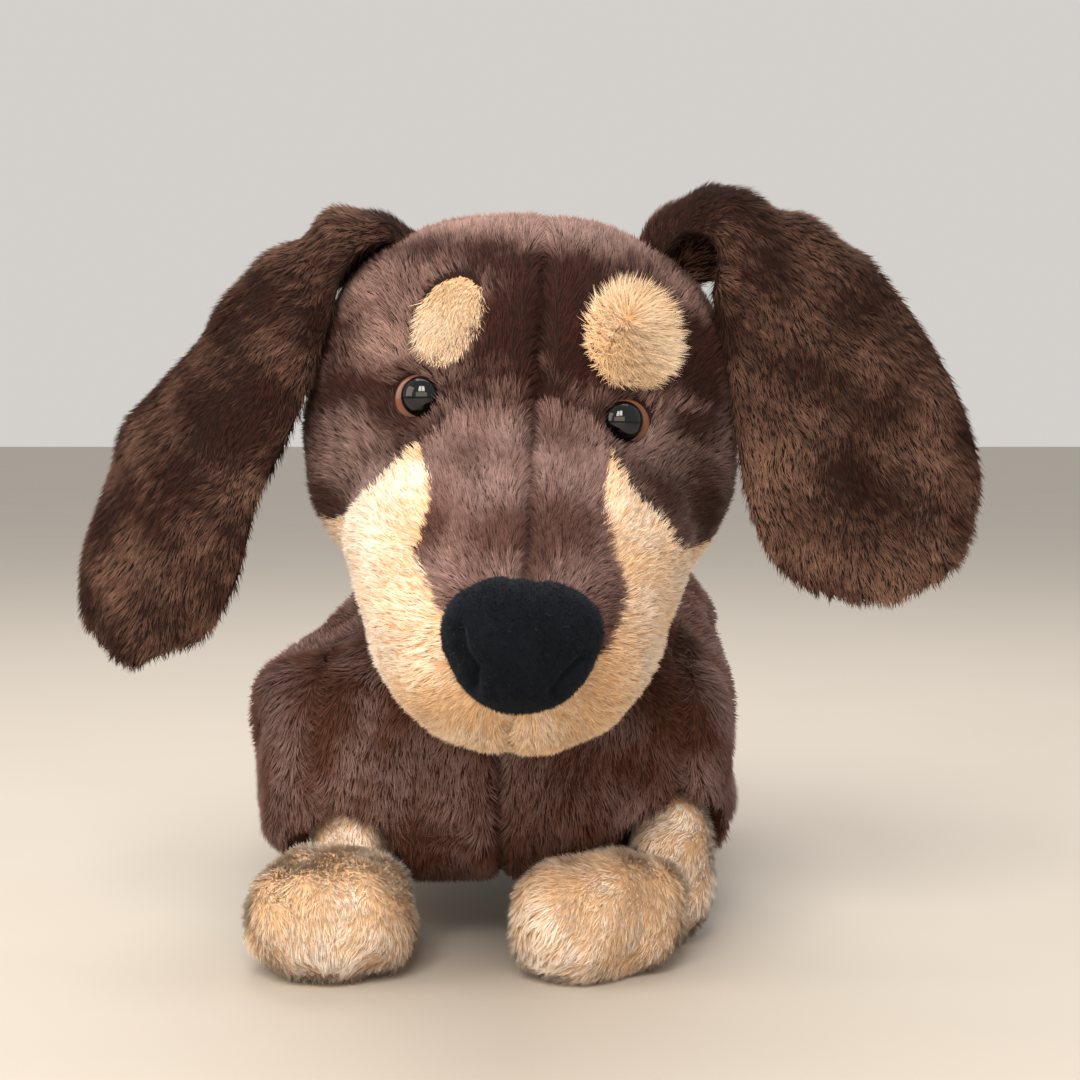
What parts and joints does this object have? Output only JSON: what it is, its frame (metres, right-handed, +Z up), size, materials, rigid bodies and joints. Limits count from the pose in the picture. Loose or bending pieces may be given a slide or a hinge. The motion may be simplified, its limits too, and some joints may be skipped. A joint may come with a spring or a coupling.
{
  "type": "plush dog",
  "caption": "Standing long-bodied plush dog with drooping ears, a padded nose, safety eyes and short legs.",
  "frame": {"origin": "on the floor, under the middle of the dog's outline", "axes": "+Z up; the dog faces -Y; +X is the dog's own left side"},
  "size_m": [0.296, 0.4576, 0.2504],
  "materials": {
    "brown_pile": "long pile plush, sewn",
    "dark_pile": "long pile plush, sewn",
    "tan_pile": "long pile plush, sewn",
    "black_velour": "velour",
    "fibre": "loose polyester fibre",
    "pellets": "plastic pellets in a bag",
    "brown_plastic": "gloss moulding",
    "black_plastic": "gloss moulding",
    "white_plastic": "as moulded"
  },
  "bodies": {
    "torso": {"chest_left": "brown_pile", "chest_right": "brown_pile", "belly": "brown_pile", "flank_left": "brown_pile", "flank_right": "brown_pile", "pellet_bag": "pellets", "torso_filling": "fibre"},
    "neck": {"neck_skin": "brown_pile", "neck_filling": "fibre"},
    "head": {"brow_patch_left": "tan_pile", "brow_patch_right": "tan_pile", "snout_bridge_left": "brown_pile", "snout_bridge_right": "brown_pile", "muzzle_left": "tan_pile", "muzzle_right": "tan_pile", "cheek_left": "brown_pile", "cheek_right": "brown_pile", "nape": "brown_pile", "crown_left": "brown_pile", "crown_right": "brown_pile", "head_filling": "fibre", "eye_iris_left": "brown_plastic", "eye_pupil_left": "black_plastic", "eye_washer_left": "white_plastic", "eye_iris_right": "brown_plastic", "eye_pupil_right": "black_plastic", "eye_washer_right": "white_plastic", "nose_cover": "black_velour", "nose_filling": "fibre"},
    "ear_left": {"ear_back_left": "dark_pile", "ear_lining_left": "dark_pile"},
    "ear_right": {"ear_back_right": "dark_pile", "ear_lining_right": "dark_pile"},
    "tail": {"tail_skin": "brown_pile", "tail_filling": "fibre"},
    "foreleg_left": {"foreleg_left_skin": "tan_pile", "foreleg_left_sole": "tan_pile", "foreleg_left_filling": "fibre"},
    "foreleg_right": {"foreleg_right_skin": "tan_pile", "foreleg_right_sole": "tan_pile", "foreleg_right_filling": "fibre"},
    "hindleg_left": {"hindleg_left_skin": "tan_pile", "hindleg_left_sole": "tan_pile", "hindleg_left_filling": "fibre"},
    "hindleg_right": {"hindleg_right_skin": "tan_pile", "hindleg_right_sole": "tan_pile", "hindleg_right_filling": "fibre"}
  },
  "joints": [
    {"name": "neck_turn", "type": "hinge", "parent": "torso", "child": "neck", "pos_m": [0.00002, -0.0526, 0.11], "axis": [0, 0, 1], "range_deg": [-20, 20], "stiffness_Nm_per_rad": 2},
    {"name": "neck_nod", "type": "hinge", "parent": "neck", "child": "head", "pos_m": [0.00002, -0.0526, 0.15], "axis": [1, 0, 0], "range_deg": [-15, 8], "stiffness_Nm_per_rad": 3},
    {"name": "ear_lift_left", "type": "hinge", "parent": "head", "child": "ear_left", "pos_m": [0.05002, -0.0926, 0.231], "axis": [0, -1, 0], "range_deg": [0, 35], "stiffness_Nm_per_rad": 0.1},
    {"name": "ear_lift_right", "type": "hinge", "parent": "head", "child": "ear_right", "pos_m": [-0.04698, -0.0926, 0.231], "axis": [0, 1, 0], "range_deg": [0, 35], "stiffness_Nm_per_rad": 0.1},
    {"name": "tail_wag", "type": "hinge", "parent": "torso", "child": "tail", "pos_m": [0.00002, 0.1624, 0.098], "axis": [0, 0, 1], "range_deg": [-30, 30], "stiffness_Nm_per_rad": 0.1},
    {"name": "foreleg_left_swing", "type": "hinge", "parent": "torso", "child": "foreleg_left", "pos_m": [0.04902, -0.0786, 0.04], "axis": [1, 0, 0], "range_deg": [-10, 10], "stiffness_Nm_per_rad": 0.8},
    {"name": "foreleg_right_swing", "type": "hinge", "parent": "torso", "child": "foreleg_right", "pos_m": [-0.05798, -0.0766, 0.04], "axis": [1, 0, 0], "range_deg": [-10, 10], "stiffness_Nm_per_rad": 0.8},
    {"name": "hindleg_left_swing", "type": "hinge", "parent": "torso", "child": "hindleg_left", "pos_m": [0.05202, 0.1214, 0.04], "axis": [1, 0, 0], "range_deg": [-10, 10], "stiffness_Nm_per_rad": 0.8},
    {"name": "hindleg_right_swing", "type": "hinge", "parent": "torso", "child": "hindleg_right", "pos_m": [-0.05198, 0.1214, 0.04], "axis": [1, 0, 0], "range_deg": [-10, 10], "stiffness_Nm_per_rad": 0.8}
  ]
}
